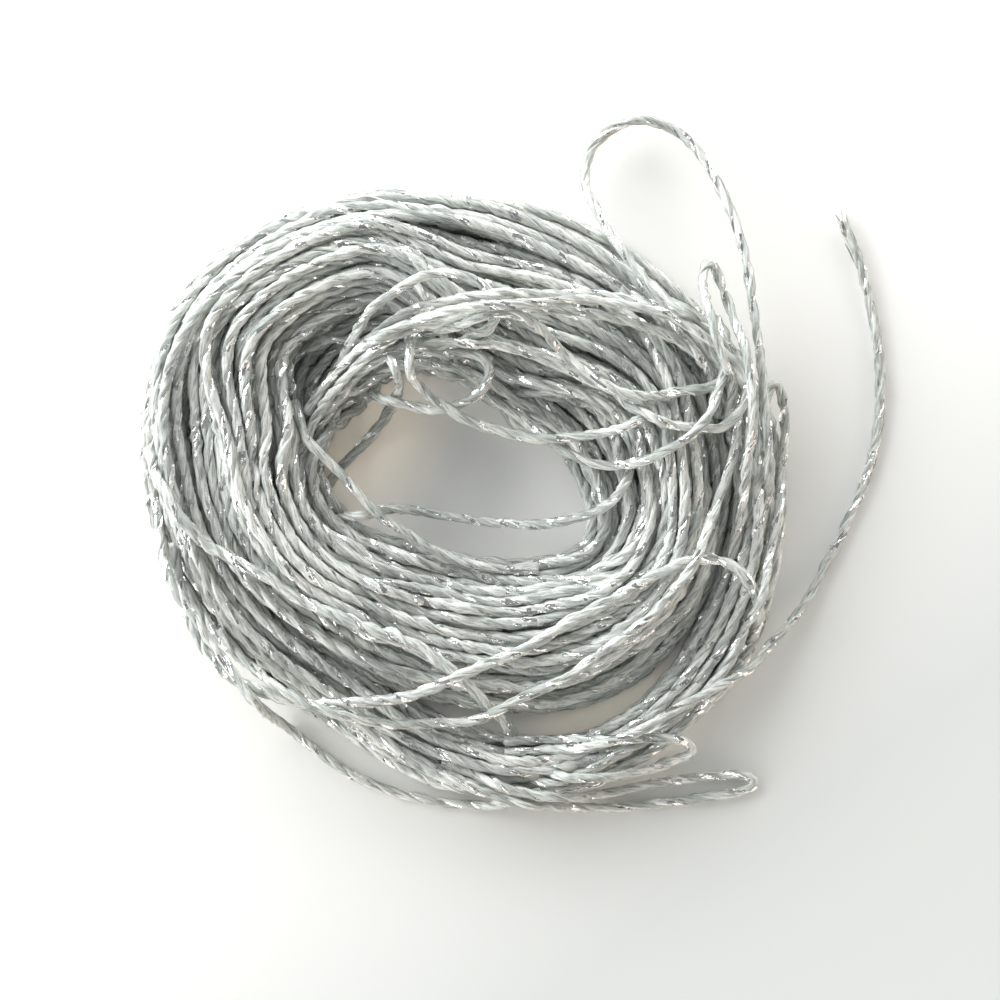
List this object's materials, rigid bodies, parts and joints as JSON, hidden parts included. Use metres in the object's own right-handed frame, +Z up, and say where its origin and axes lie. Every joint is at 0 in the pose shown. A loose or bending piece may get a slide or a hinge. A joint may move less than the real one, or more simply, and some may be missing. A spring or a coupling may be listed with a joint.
{
  "type": "hank of metallic craft cord",
  "caption": "Loose hank of silver twisted metallic craft cord, coiled flat round an open eye, with a wide loop standing out and one loose end.",
  "frame": {"origin": "centre of the bounding box on the resting surface", "axes": "+Z up from the resting surface, +X towards the loose end, +Y towards the wide free loop"},
  "size_m": [0.0751, 0.0704, 0.0122],
  "materials": {
    "silver_cord": "twisted film fibre with silver foil"
  },
  "bodies": {
    "root": {"main_coil": "silver_cord", "outer_turns": "silver_cord", "crossing_turns": "silver_cord", "arch_strand": "silver_cord", "top_loop": "silver_cord", "narrow_loop": "silver_cord", "right_stub_loop": "silver_cord", "free_tail": "silver_cord", "outer_strand": "silver_cord", "lower_fold": "silver_cord", "small_fold": "silver_cord", "eye_strand_low": "silver_cord", "eye_strand_left": "silver_cord", "eye_strand_deep": "silver_cord", "eye_strand_high": "silver_cord", "eye_ring": "silver_cord"}
  },
  "joints": []
}
